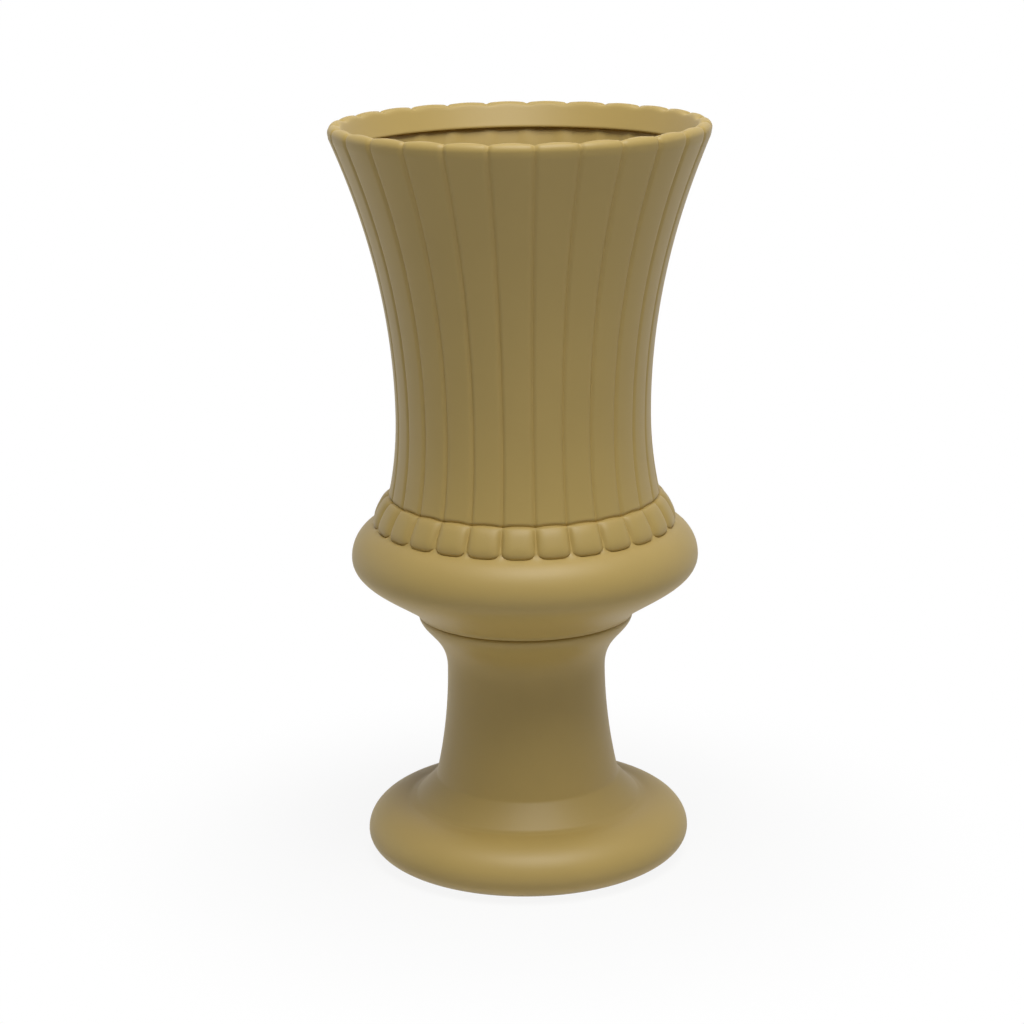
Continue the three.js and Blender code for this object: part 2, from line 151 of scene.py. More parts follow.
# %% Lay rings of points and skin them
HALF_COLUMNS = 9
SHARES = 0.5 * np.sin(np.arange(-HALF_COLUMNS, HALF_COLUMNS) / HALF_COLUMNS * math.pi / 2)
ACROSS = np.abs(2 * SHARES)  # 0 in the middle of a flute, 1 in the groove
MERGE_DISTANCE = 2e-6
SMOOTH_ANGLE = math.radians(38)


def outward(points):
    """Unit normals of an outline that runs up the inside of a wall and down its outside."""
    along = np.gradient(points, axis=0)
    along /= np.linalg.norm(along, axis=1, keepdims=True)
    return np.stack([-along[:, 1], along[:, 0]], 1)


def lay_rings(spots):
    """Points of every ring, in metres, from the radius and height of each row at each share of a flute."""
    radius = np.tile(spots[:, :, 0], FLUTES)
    height = np.tile(spots[:, :, 1], FLUTES)
    angle = (np.arange(FLUTES)[:, None] + SHARES[None, :]).ravel() / FLUTES * 2 * math.pi
    return np.stack([radius * np.sin(angle), -radius * np.cos(angle), height], 2) * MM


def ring_grid(points, relief=0.0, slide=0.0):
    """Rings of an outline, each point pushed out along the surface by relief and moved by slide."""
    push = outward(points)[:, None, :] * np.broadcast_to(relief, (len(points), len(SHARES)))[:, :, None]
    return lay_rings(points[:, None, :] + push + slide)


def skin(grid):
    """Quads over a grid of rings, each ring closed round the axis."""
    rows, columns = grid.shape[:2]
    i, j = np.meshgrid(np.arange(rows - 1), np.arange(columns), indexing="ij")
    k = (j + 1) % columns
    corners = [i * columns + j, (i + 1) * columns + j, (i + 1) * columns + k, i * columns + k]
    return grid.reshape(-1, 3), np.stack(corners, 2).reshape(-1, 4)


def make_object(name, vertices, faces):
    """A mesh object with merged seams, outward faces and smooth shading broken only at real edges."""
    mesh = bpy.data.meshes.new(name)
    mesh.from_pydata([tuple(vertex) for vertex in vertices], [], [tuple(face) for face in faces])
    work = bmesh.new()
    work.from_mesh(mesh)
    bmesh.ops.remove_doubles(work, verts=work.verts, dist=MERGE_DISTANCE)
    bmesh.ops.recalc_face_normals(work, faces=work.faces)
    work.to_mesh(mesh)
    work.free()
    mesh.polygons.foreach_set("use_smooth", [True] * len(mesh.polygons))
    mesh.set_sharp_from_angle(angle=SMOOTH_ANGLE)
    made = bpy.data.objects.new(name, mesh)
    bpy.context.scene.collection.objects.link(made)
    print(name, len(mesh.polygons), "faces")
    return made


# %% [markdown]
# ## Floors with holes
# The floor of the bowl and the top of the pedestal have a bolt hole and three drains. A Boolean modifier
# could cut them, but it is slow on a dense mesh. A flat plate is easier to fill directly: a constrained
# Delaunay triangulation joins the outer ring to the hole rings, and walls round the holes join the two
# faces.

# %% Fill a plate between rings
FILL_TOLERANCE = 1e-7


def circle(centre, radius, count):
    angle = np.arange(count) / count * 2 * math.pi
    return np.stack([centre[0] + radius * np.cos(angle), centre[1] + radius * np.sin(angle)], 1)


def clear_of(spot, hole):
    """Whether a spot on a plate lies outside a round hole."""
    centre = hole.mean(0)
    return (spot - Vector(centre)).length > np.linalg.norm(hole[0] - centre)


def band(first, count):
    """Quads between a ring of count points and the ring that comes right after it."""
    return [
        [first + n, first + (n + 1) % count, first + count + (n + 1) % count, first + count + n]
        for n in range(count)
    ]


def plate(top_edge, bottom_edge, top_z, bottom_z, holes):
    """Vertices and faces of a flat plate. The edges are rings that other surfaces end on."""
    vertices, faces = [], []
    for edge, z in ((top_edge, top_z), (bottom_edge, bottom_z)):
        rings = [edge, *holes]
        loops, first = [], 0
        for ring in rings:
            loops.append(list(range(first, first + len(ring))))
            first += len(ring)
        flat = [Vector(point) for point in np.concatenate(rings)]
        spots, _, triangles = delaunay_2d_cdt(flat, [], loops, 1, FILL_TOLERANCE)[:3]
        offset = len(vertices)
        vertices += [(spot.x, spot.y, z * MM) for spot in spots]
        for triangle in triangles:
            middle = sum((spots[v] for v in triangle), Vector((0, 0))) / len(triangle)
            if all(clear_of(middle, hole) for hole in holes):
                faces.append([offset + v for v in triangle])
    for hole in holes:
        offset = len(vertices)
        vertices += [(x, y, z * MM) for z in (top_z, bottom_z) for x, y in hole]
        faces += band(offset, len(hole))
    return vertices, faces


def shell_with_plate(name, grid, top_z, bottom_z, holes):
    """A skinned grid of rings, closed by a plate that runs from its first ring to its last."""
    vertices, faces = skin(grid)
    plate_vertices, plate_faces = plate(grid[0, :, :2], grid[-1, :, :2], top_z, bottom_z, holes)
    offset = len(vertices)
    shifted = [[v + offset for v in face] for face in plate_faces]
    return make_object(name, [*vertices, *plate_vertices], [*faces, *shifted])


# %% [markdown]
# ## The bowl
# The bowl flares from its waist to a thick rolled lip. Each flute ends in a rounded pillow on the lip, so
# the rim is scalloped. Below the waist every flute stops at a crease, with one square bead under it, and the
# beads sit on the shoulder of a round belly. Inside the lip a smooth collar slopes in and down, and the wall
# under it steps back.

# %% Measures of the bowl, in millimetres
RIM_RADIUS = 149.5
WALL = 3.5
LIP_WIDTH = 11.5
COLLAR_EDGE = np.array([130.5, 581.8])  # the lower edge of the sloping collar inside the lip
COLLAR_THICK = 2.0
THICK_FROM = 515.0  # the wall thickens between these two heights
THICK_TO = 562.0
THICKENING = 7.0
WAIST_RADIUS = 101.9
WAIST_Z = 368.0
FLARE_UP = 9.56e-4  # widening per square millimetre above the waist
FLARE_DOWN = 1.67e-3  # and below it
BEAD_TOP = np.array([109.4, 301.5])
BEAD_FOOT = np.array([120.6, 279.6])
BELLY_RADIUS = 139.6
BELLY_Z = 252.5
BELLY_ROUND = 27.6  # how far the shoulder's quarter ellipse runs in from the widest line
BELLY_RISE = 28.5
BELLY_TURN = (99.1, 215.0)  # where the belly's underside turns down to the seam
BELLY_DROP = 14.9  # this and the points below are the handles of the underside's curves
BELLY_PULL = (122.7, 230.3)
TUCK_PULLS = [(92.0, 210.3), (89.4, 207.8)]
SEAM_RADIUS = 88.8
SEAM_ROUND = 2.2
FLOOR = 4.0
SPIGOT_RADIUS = 59.7  # round boss under the bowl that centres it in the pedestal
SPIGOT_DEPTH = 6.2
SEAT_GAP = 0.3
BOLT_HOLE = 4.5
DRAIN_CIRCLE = 36.0
DRAIN_RADIUS = 6.0
PLATE_DRAIN_RADIUS = 10.0
DRAIN_ANGLES = [math.radians(-90 + 120 * n) for n in range(3)]


def wall_radius(z):
    flare = np.where(z > WAIST_Z, FLARE_UP, FLARE_DOWN)
    return WAIST_RADIUS + flare * (z - WAIST_Z) ** 2


print("a flute is", round(2 * math.pi * WAIST_RADIUS / FLUTES, 1), "mm wide at the waist")

# %% [markdown]
# ### Flutes and pillows as relief
# A groove is a narrow valley with rounded edges. Its real width stays almost the same while the flutes
# spread apart, so it is measured in millimetres from the groove's middle and not as a share of the flute.

# %% Relief of the flutes and the lip
GROOVE_DEPTH = 1.5
GROOVE_HALF_WIDTH = 2.9
GROOVE_TAPER = 0.78  # the groove's width at the waist, as a share of that at the rim
PANEL_CROWN = 0.35  # each flute's panel is slightly rounded
SCALLOP = 2.4  # how far the lip sinks between two pillows
SCALLOP_SHARPNESS = 2.3
# Places round the lip, in degrees from straight out, and the scallop's and the groove's share at each
LIP_TURNS = [-16, 20, 60, 78, 90, 100, 115, 135, 153]
SCALLOP_SHARES = [0.15, 0.2, 0.25, 0.42, 0.85, 1.1, 1.0, 0.4, 0.0]
GROOVE_SHARES = [1.0, 0.95, 0.7, 0.45, 0.35, 0.3, 0.15, 0.0, 0.0]


def groove(radius, half_width):
    """1 in the middle of a groove, 0 beyond its half width, for rows of one radius each."""
    away = (1 - ACROSS) * math.pi * np.asarray(radius)[:, None] / FLUTES
    return np.clip(1 - (away / np.asarray(half_width)[:, None]) ** 2, 0, 1) ** 2


def flute_relief(points):
    spread = smooth_step(points[:, 0], WAIST_RADIUS, RIM_RADIUS)
    width = GROOVE_HALF_WIDTH * (GROOVE_TAPER + (1 - GROOVE_TAPER) * spread)
    return -GROOVE_DEPTH * groove(points[:, 0], width) - PANEL_CROWN * ACROSS**2


def lip_relief(points, scallop_share, groove_share):
    """Pillows on the lip: it sinks between them, and the grooves run on over its crest."""
    width = np.full(len(points), GROOVE_HALF_WIDTH)
    sink = SCALLOP * ACROSS**SCALLOP_SHARPNESS
    cut = GROOVE_DEPTH * groove(points[:, 0], width) + PANEL_CROWN * ACROSS**2
    return -sink * scallop_share[:, None] - cut * groove_share[:, None]


print("deepest dip of the rim:", round(SCALLOP * max(SCALLOP_SHARES), 2), "mm")

# %% [markdown]
# ### The lip and the fluted wall
# The lip is a half round that starts at the collar and turns over into the wall. Its relief changes as it
# turns: the scallop is deepest at the crest, and the grooves fade out over it. The last of the scallop runs
# out down the wall. At its foot each flute turns in at a crease that arches up in the middle of the flute.

# %% The lip and the wall
LIP_ROWS = 22
WALL_TOP = HEIGHT - 10.5  # where the wall takes over from the lip
FINE_WALL = 12.0  # its rows lie closer together down to here
SCALLOP_END = (9.0, 24.0)  # below the rim, where the last of the scallop runs out
CREASE_ARCH = 1.3
CREASE_DEPTH = 1.3
CREASE_START = 3.4  # above the bead's top, where the flute's foot starts to turn in
FOOT_ROWS = np.array([9.0, 6.5, 4.5, 3.0, 1.9, 1.0, 0.3])  # the wall's last rows, above the bead's top

half_lip = LIP_WIDTH / 2
lip_centre = (RIM_RADIUS - half_lip, HEIGHT - half_lip)
lip = oval(lip_centre, (half_lip, half_lip), LIP_TURNS[-1], LIP_TURNS[0], LIP_ROWS)
lip_turn = np.linspace(LIP_TURNS[-1], LIP_TURNS[0], LIP_ROWS, endpoint=False)
lip_scallops = np.interp(lip_turn, LIP_TURNS, SCALLOP_SHARES)
lip_grooves = np.interp(lip_turn, LIP_TURNS, GROOVE_SHARES)

wall_foot = BEAD_TOP[1] + FOOT_ROWS
wall_z = np.concatenate([
    np.linspace(WALL_TOP, WALL_TOP - FINE_WALL, 6, endpoint=False),
    np.linspace(WALL_TOP - FINE_WALL, wall_foot[0], 34, endpoint=False),
    wall_foot,
])
wall = np.stack([wall_radius(wall_z), wall_z], 1)
scallop_start, scallop_stop = HEIGHT - np.array(SCALLOP_END)
scallop_left = SCALLOP_SHARES[0] * (1 - smooth_step(wall_z, scallop_start, scallop_stop))
near_crease = smooth_step(wall_z, BEAD_TOP[1] + CREASE_START, wall_foot[-1])
wall_relief = flute_relief(wall) + lip_relief(wall, scallop_left, np.zeros(len(wall)))
wall_relief -= CREASE_DEPTH * (near_crease**2)[:, None]
arch = CREASE_ARCH * (1 - ACROSS**2)
wall_slide = np.zeros((len(wall), len(SHARES), 2))
wall_slide[:, :, 1] = smooth_step(wall_z, wall_foot[0], wall_foot[-1])[:, None] * arch
print("rows on the lip:", len(lip), "and on the wall:", len(wall))

# %% [markdown]
# ### The beads
# Each bead is a low square pillow under one flute. It could be a separate rounded box, but the real beads
# are part of the moulding, so they are relief too: a swell along the bead times a swell across it. The upper
# end follows the crease's arch. The lower corners are cut back, and a narrow strip of the shoulder shows
# between two beads.

# %% The beads
BEAD_ROWS = 20
BEAD_BULGE = 4.3
BEAD_SQUARENESS = 2.5  # along the bead; a high number gives a flat crown with steep ends
BEAD_SIDES = 3.9  # the same across it
BEAD_SHARE = 0.95  # of the pitch, so that a strip of the shoulder shows between two beads
BEAD_RECESS = 0.35  # how far a bead is sunk into the shoulder
RECESS_END = 0.9  # where across the bead the recess starts to run out
BEAD_CORNER = 5.3  # how far the bead's foot is cut back at its corners
CORNER_SHARPNESS = 4.6

run = BEAD_FOOT - BEAD_TOP
run_length = np.linalg.norm(run)
run_way = run / run_length
run_normal = np.array([-run_way[1], run_way[0]])
along_bead = 0.5 - 0.5 * np.cos(np.arange(BEAD_ROWS + 1) / BEAD_ROWS * math.pi)
foot_cut = BEAD_CORNER * ACROSS**CORNER_SHARPNESS
bead_start = -arch[None, :]
bead_end = (run_length - foot_cut)[None, :]
bead_reach = bead_start + (bead_end - bead_start) * along_bead[:, None]
swell = np.clip(1 - np.abs(2 * along_bead - 1) ** BEAD_SQUARENESS, 0, 1) ** 0.5
sides = np.clip(1 - (ACROSS / BEAD_SHARE) ** BEAD_SIDES, 0, 1) ** 0.6
recess = BEAD_RECESS * (1 - smooth_step(ACROSS, RECESS_END, 1))
bead_height = BEAD_BULGE * swell[:, None] * sides[None, :] - recess
bead_place = BEAD_TOP + run_way * bead_reach[:, :, None] + run_normal * bead_height[:, :, None]
print("a bead is", round(run_length, 1), "mm long")

# %% [markdown]
# ### The belly
# The belly starts where the beads end, and that is higher at a bead's corners than under its middle. If its
# rows were simply pushed up there, the light would show a ray under each gap. So a point is placed by how
# far it lies along the belly's own curve. The first row slides up that curve by as much as the bead is cut
# back, and the rows below it by less and less. Above the belly the curve goes on up the strip between two
# beads, with a small fillet where it bends.

# %% Outline of the belly
def belly_outline(fine):
    """From the beads down to the seam, with fine times the usual number of points."""
    centre = (BELLY_RADIUS - BELLY_ROUND, BELLY_Z)
    start = math.degrees(math.acos((BEAD_FOOT[0] - centre[0]) / BELLY_ROUND))
    seam_edge = (SEAM_RADIUS, SEAM_Z + SEAM_ROUND)
    widest = (BELLY_RADIUS, BELLY_Z)
    handle = (BELLY_RADIUS, BELLY_Z - BELLY_DROP)
    return np.concatenate([
        oval(centre, (BELLY_ROUND, BELLY_RISE), start, 0, 18 * fine),
        bend([widest, handle, BELLY_PULL, BELLY_TURN], 18 * fine),
        bend([BELLY_TURN, *TUCK_PULLS, seam_edge], 6 * fine),
        bend([seam_edge, (SEAM_RADIUS - 0.4, SEAM_Z), (SEAM_RADIUS - SEAM_ROUND, SEAM_Z)], 5 * fine),
    ])


def walked(outline):
    """How far each point lies along an outline."""
    return np.concatenate([[0], np.cumsum(np.linalg.norm(np.diff(outline, axis=0), axis=1))])


# %% Place the belly's rows along its curve
GAP_STRIP = 9.0  # how far the curve goes on up between two beads
GAP_FILLET = 3.0
CLIMB_END = 11.0  # down the belly, where its rows lie level again

belly_rows = belly_outline(1)
belly = belly_rows[1:]
fine_belly = belly_outline(6)
fine_length = walked(fine_belly)
fine_belly = fine_belly[fine_length > GAP_FILLET]
strip_end = BEAD_FOOT - run_way * GAP_FILLET
belly_track = np.concatenate([
    line(BEAD_FOOT - run_way * GAP_STRIP, strip_end, 10),
    bend([strip_end, BEAD_FOOT, fine_belly[0]], 12),
    fine_belly,
])
track_length = walked(belly_track)
track_length += fine_length[-1] - track_length[-1]
row_length = walked(belly_rows)[1:]
climb = foot_cut[None, :] * (1 - smooth_step(row_length, 0, CLIMB_END))[:, None]
along_belly = row_length[:, None] - climb
belly_place = np.stack([np.interp(along_belly, track_length, belly_track[:, n]) for n in (0, 1)], 2)
print("from the beads to the seam along the belly:", round(fine_length[-1], 1), "mm")

# %% [markdown]
# ### The underside and the inside
# Under the bowl a round boss fits the pedestal's recess. A moulded wall is even, so the inside is the
# outside moved in by the wall's thickness, and it waves a little behind the grooves. Near the rim the wall
# is thicker, and the collar's lower edge overhangs it.

# %% Underside and floor
BOSS_TOP = SPIGOT_RADIUS + 0.6  # the boss narrows a little downwards
BOSS_FOOT = SPIGOT_RADIUS - 0.1
BOSS_SOFT = 0.8
LEDGE_RADIUS = 84.0  # where the floor meets the inside of the belly
spigot_z = SEAM_Z - SPIGOT_DEPTH
floor_top = spigot_z + FLOOR
ledge_z = SEAM_Z + FLOOR
well = SPIGOT_RADIUS - FLOOR
underside = np.array([
    (SEAM_RADIUS - SEAM_ROUND, SEAM_Z), (80.0, SEAM_Z), (BOSS_TOP + BOSS_SOFT, SEAM_Z),
    (BOSS_TOP, SEAM_Z - BOSS_SOFT), (BOSS_FOOT, spigot_z + BOSS_SOFT), (BOSS_FOOT - BOSS_SOFT, spigot_z),
])
inside_floor = np.array([
    (well - 0.4, floor_top), (well + 0.4, floor_top + 1.0), (well + 1.0, ledge_z - 0.9),
    (well + 2.2, ledge_z), (70.0, ledge_z),
])
print("the floor lies at", round(floor_top, 1), "mm")

# %% The inside of the belly and of the wall
SEAM_ROWS = 7  # the belly's last rows, which turn in at the seam
INSIDE_FOOT = BEAD_TOP[1] - 4
INNER_WAVE = 1.1  # how far the inner face stands in behind a groove
INNER_WAVE_WIDTH = 9.0
INNER_WAVE_RISE = 24.0  # the height over which the wave grows from nothing
collar_foot = COLLAR_EDGE[1] - COLLAR_THICK

belly_outer = belly[:-SEAM_ROWS][::3][::-1]
inside_belly = np.concatenate([[(LEDGE_RADIUS, ledge_z)], belly_outer + outward(belly_outer) * WALL])
inside_belly = inside_belly[inside_belly[:, 1] < BEAD_FOOT[1] - 1.0]
inside_z = np.concatenate([np.linspace(INSIDE_FOOT, collar_foot - 3, 20), [collar_foot - 1.2, collar_foot]])
thicker = THICKENING * smooth_step(inside_z, THICK_FROM, THICK_TO)
inside_wall = np.stack([wall_radius(inside_z) - WALL - thicker, inside_z], 1)
inside_wave = INNER_WAVE * groove(inside_wall[:, 0], np.full(len(inside_wall), INNER_WAVE_WIDTH))
inside_wave *= smooth_step(inside_z, INSIDE_FOOT, INSIDE_FOOT + INNER_WAVE_RISE)[:, None]
print("wall under the collar:", round(WALL + thicker[-1], 1), "mm thick")

# %% [markdown]
# ### The collar
# Inside the lip a smooth band slopes in and down, and its lower edge stands out over the wall like a
# small eave. The shadow under it is the dark line that shows inside the rim. It could be a piece of its
# own, but on the real bowl it is moulded with the wall, so it is a few more rows of the same outline. Two
# short curves round its edge.

# %% The collar
COLLAR_SOFT = 0.06  # of the slope's length, where its lower edge starts to round
collar_top = lip[0]
collar_slope = COLLAR_EDGE + COLLAR_SOFT * (collar_top - COLLAR_EDGE)
collar_nose = COLLAR_EDGE - (0.3, 0.9)
collar = np.concatenate([
    [COLLAR_EDGE + (1.6, -COLLAR_THICK)],
    bend([COLLAR_EDGE + (0.9, -COLLAR_THICK), COLLAR_EDGE + (-0.4, -COLLAR_THICK), collar_nose], 3),
    bend([collar_nose, COLLAR_EDGE - (0.2, 0.1), collar_slope], 3),
    line(collar_slope, collar_top, 8),
])
print("the collar overhangs the wall by", round(inside_wall[-1, 0] - COLLAR_EDGE[0], 1), "mm")

# %% The holes in the floor
drain_centres = [
    (DRAIN_CIRCLE * MM * math.cos(angle), DRAIN_CIRCLE * MM * math.sin(angle)) for angle in DRAIN_ANGLES
]


def drilled(drain_radius, columns):
    """The bolt hole and the three drains of a plate."""
    drains = [circle(centre, drain_radius * MM, columns) for centre in drain_centres]
    return [circle((0, 0), BOLT_HOLE * MM, 40), *drains]


print(len(drain_centres), "drains,", 2 * DRAIN_RADIUS, "mm across")

# %% [markdown]
# ### One skin for the bowl
# The real bowl is one moulding, so it is one mesh. Its rings are stacked in the order in which a finger
# would follow the wall: from the floor up the inside, over the collar and the lip, down the flutes and the
# beads, round the belly and in under the boss. Quads join each ring to the next one, and the drilled floor
# closes the two ends.

# %% Skin the bowl
bowl_grid = np.concatenate([
    ring_grid(inside_floor),
    ring_grid(inside_belly),
    ring_grid(inside_wall, inside_wave),
    ring_grid(collar),
    ring_grid(lip, lip_relief(lip, lip_scallops, lip_grooves)),
    ring_grid(wall, wall_relief, wall_slide),
    lay_rings(bead_place),
    lay_rings(belly_place),
    ring_grid(underside),
])
bowl = shell_with_plate("bowl_shell", bowl_grid, floor_top, spigot_z, drilled(DRAIN_RADIUS, 48))
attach(bowl, "urn")
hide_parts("bowl")

# %% [markdown]
# ## The pedestal
# The second moulding has no flutes, so the same loft makes it with no relief. Its outline runs from under
# the seam down a cove to a narrow stem, over a sloping step and out to a rounded foot that turns in to a
# flange. Its wall is even too, and a recess in its top plate takes the bowl's boss.

# %% Measures of the pedestal, in millimetres
STAND_WALL = 4.0
STAND_TOP_RADIUS = 87.4
STAND_TOP_EDGE = [83.9, 86.0]  # radii where the rounding of the top edge starts, and of its pull
STEM_RADIUS = 64.1
STEM_Z = 158.0
STEM_FLARE = 1.24e-3
STEM_FOOT_Z = 65.4
STEM_SOFT = 1.2  # above the stem's foot, where it starts to round into the step
STEP_RADIUS = 91.9
STEP_Z = 47.1
FOOT_RADIUS = 131.6
FOOT_Z = 19.7
FOOT_ROUND = 32.9
FOOT_CROWN = 25.4
FOOT_TUCK = 20.5
BASE_Z = 2.4
FLANGE_INNER = 86.0
FLANGE_OUTER = 116.7  # where the flange's top meets the inside of the foot
FLANGE_SOFT = 0.6


def stem_radius(z):
    return STEM_RADIUS + STEM_FLARE * (z - STEM_Z) ** 2


# %% Outside of the pedestal
stand_top = SEAM_Z - SEAT_GAP
cove_start = (86.7, stand_top - 2.4)
cove_pulls = [(84.3, stand_top - 13.7), (STEM_RADIUS + 0.3, STEM_Z + 26)]
stem_z = np.linspace(STEM_Z, STEM_FOOT_Z + STEM_SOFT, 26, endpoint=False)
stem_end = (stem_radius(STEM_FOOT_Z + STEM_SOFT), STEM_FOOT_Z + STEM_SOFT)
stem_corner = np.array([stem_radius(STEM_FOOT_Z), STEM_FOOT_Z])
step_corner = np.array([STEP_RADIUS, STEP_Z])
step_way = step_corner - stem_corner
step_way = step_way / np.linalg.norm(step_way)
step_from = stem_corner + step_way * 1.5
step_to = step_corner - step_way * 2.0
foot_start = (STEP_RADIUS + 2.4, STEP_Z - 0.7)
foot_centre = (FOOT_RADIUS - FOOT_ROUND, FOOT_Z)
crown_start = (foot_centre[0], FOOT_Z + FOOT_CROWN)
tuck_end = math.degrees(math.asin((FOOT_Z - BASE_Z) / FOOT_TUCK))
stand_outside = np.concatenate([
    bend([*[(radius, stand_top) for radius in STAND_TOP_EDGE], cove_start], 5),
    bend([cove_start, *cove_pulls, (STEM_RADIUS, STEM_Z)], 26),
    np.stack([stem_radius(stem_z), stem_z], 1),
    bend([stem_end, stem_corner, step_from], 4),
    line(step_from, step_to, 8),
    bend([step_to, step_corner, foot_start], 5),
    bend([foot_start, (96.0, STEP_Z - 1.7), crown_start], 4),
    oval(foot_centre, (FOOT_ROUND, FOOT_CROWN), 90, 0, 26),
    oval(foot_centre, (FOOT_ROUND, FOOT_TUCK), 0, -tuck_end, 16),
])
print("the foot is", round(2 * stand_outside[:, 0].max(), 1), "mm across")

# %% Inside of the pedestal, its flange and its recess
flange_edge = oval(foot_centre, (FOOT_ROUND, FOOT_TUCK), -tuck_end, -tuck_end - 1, 1)
flange_top = BASE_Z + STAND_WALL
recess_z = spigot_z - SEAT_GAP
socket = SPIGOT_RADIUS + SEAT_GAP
under_plate = stand_top - FLOOR
stand_inside = stand_outside[5:-6:3]
stand_inside = stand_inside - outward(stand_inside) * STAND_WALL
in_reach = (stand_inside[:, 1] < under_plate - 2) & (stand_inside[:, 1] > flange_top + 2)
stand_profile = np.concatenate([
    [(socket + FLOOR, recess_z - FLOOR), (socket + FLOOR, under_plate)],
    [(STAND_TOP_RADIUS - STAND_WALL - 3, under_plate)],
    stand_inside[in_reach],
    [(FLANGE_OUTER, flange_top), (FLANGE_INNER + FLANGE_SOFT, flange_top)],
    [(FLANGE_INNER, flange_top - FLANGE_SOFT), (FLANGE_INNER, BASE_Z + FLANGE_SOFT)],
    [(FLANGE_INNER + FLANGE_SOFT, BASE_Z)],
    flange_edge,
    stand_outside[::-1],
    [(socket + 0.9, stand_top), (socket + 0.1, stand_top - 0.8)],
    [(socket, recess_z + 0.5), (socket - 0.5, recess_z)],
])
print("the recess is", round(stand_top - recess_z, 1), "mm deep")

# %% Skin the pedestal
stand_grid = ring_grid(stand_profile[::-1])[:, ::2]  # a plain round wall needs only every other column
stand = shell_with_plate(
    "pedestal_shell", stand_grid, recess_z, recess_z - FLOOR, drilled(PLATE_DRAIN_RADIUS, 56)
)
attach(stand, "urn")
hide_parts("pedestal")

# %% [markdown]
# ## Fasteners, plugs and pads
# The small pieces are turned from softened outlines. Soft corners matter even at this size, because a real
# edge always catches a thin line of light. The bolt's thread is a grid of rings too, with a radius that
# follows a helix.

# %% Helpers for small turned pieces
CUT_LIMIT = 0.45  # of an edge's length, so that the cuts at its two ends stay apart
CUT_STEPS = 4


def soften(corners, radius, closed=False):
    """An outline with its corners rounded. A closed one comes back to its first point."""
    corners = [np.array(corner, float) for corner in corners]
    made = []
    for n, corner in enumerate(corners):
        if not closed and n in (0, len(corners) - 1):
            made.append(corner[None, :])
            continue
        before = corners[n - 1] - corner
        after = corners[(n + 1) % len(corners)] - corner
        cut = min(radius, CUT_LIMIT * np.linalg.norm(before), CUT_LIMIT * np.linalg.norm(after))
        first = corner + before / np.linalg.norm(before) * cut
        last = corner + after / np.linalg.norm(after) * cut
        made.append(np.concatenate([bend([first, corner, last], CUT_STEPS), [last]]))
    if closed:
        made.append(made[0][:1])
    return np.concatenate(made)


def turn_rows(radius, height):
    """Skin over rows of points round the vertical. Both are arrays of rows by columns, in millimetres."""
    angle = np.arange(radius.shape[1]) / radius.shape[1] * 2 * math.pi
    return skin(np.stack([radius * np.cos(angle), radius * np.sin(angle), height], 2) * MM)


def turned(outline, columns=64):
    radius = np.repeat(outline[:, :1], columns, axis=1)
    height = np.repeat(outline[:, 1:], columns, axis=1)
    return turn_rows(radius, height)


def fit_piece(name, mesh, node, body, at):
    """Set a small piece at its place in millimetres, and let it stand for its CAD node."""
    vertices, faces = mesh
    piece = make_object(name, np.array(vertices) + np.array(at) * MM, faces)
    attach(piece, body)
    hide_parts(node)
    return piece


# %% [markdown]
# ### The clamp stack
# A bolt comes down through a steel washer and a rubber one that keeps the hole tight. Under the pedestal's
# plate it meets a second steel washer and a wing nut, which a hand can turn from below.

# %% Measures of the clamp stack, from the bowl's floor up and from the plate's underside down
SEAL_WASHER = (4.3, 14.0, 2.5)  # hole, outer radius, thickness
STEEL_WASHER = (4.3, 12.0, 1.6)
BOLT_RADIUS = 4.0
BOLT_LENGTH = 25.0
THREAD_PITCH = 1.25
THREAD_DEPTH = 0.7
THREAD_START = 3.5  # below the head
THREAD_FADE = 1.5
THREAD_ROWS = 10  # in one turn
HEX_ACROSS = 13.0
HEX_HEIGHT = 5.3
HEX_CHAMFER = 0.9
HEX_DISH = 0.3  # how far the middle of the head's top is sunk
seal_z = floor_top + SEAT_GAP
head_washer_z = seal_z + SEAL_WASHER[2] + SEAT_GAP
head_z = head_washer_z + STEEL_WASHER[2] + SEAT_GAP
nut_washer_z = recess_z - FLOOR - SEAT_GAP - STEEL_WASHER[2]
wing_nut_z = nut_washer_z - SEAT_GAP
print("the bolt's head sits at", round(head_z, 1), "mm and the wing nut at", round(wing_nut_z, 1), "mm")


# %% A washer
def washer(measures, softness):
    hole, outer, thick = measures
    return turned(soften([(hole, 0), (outer, 0), (outer, thick), (hole, thick)], softness, closed=True))


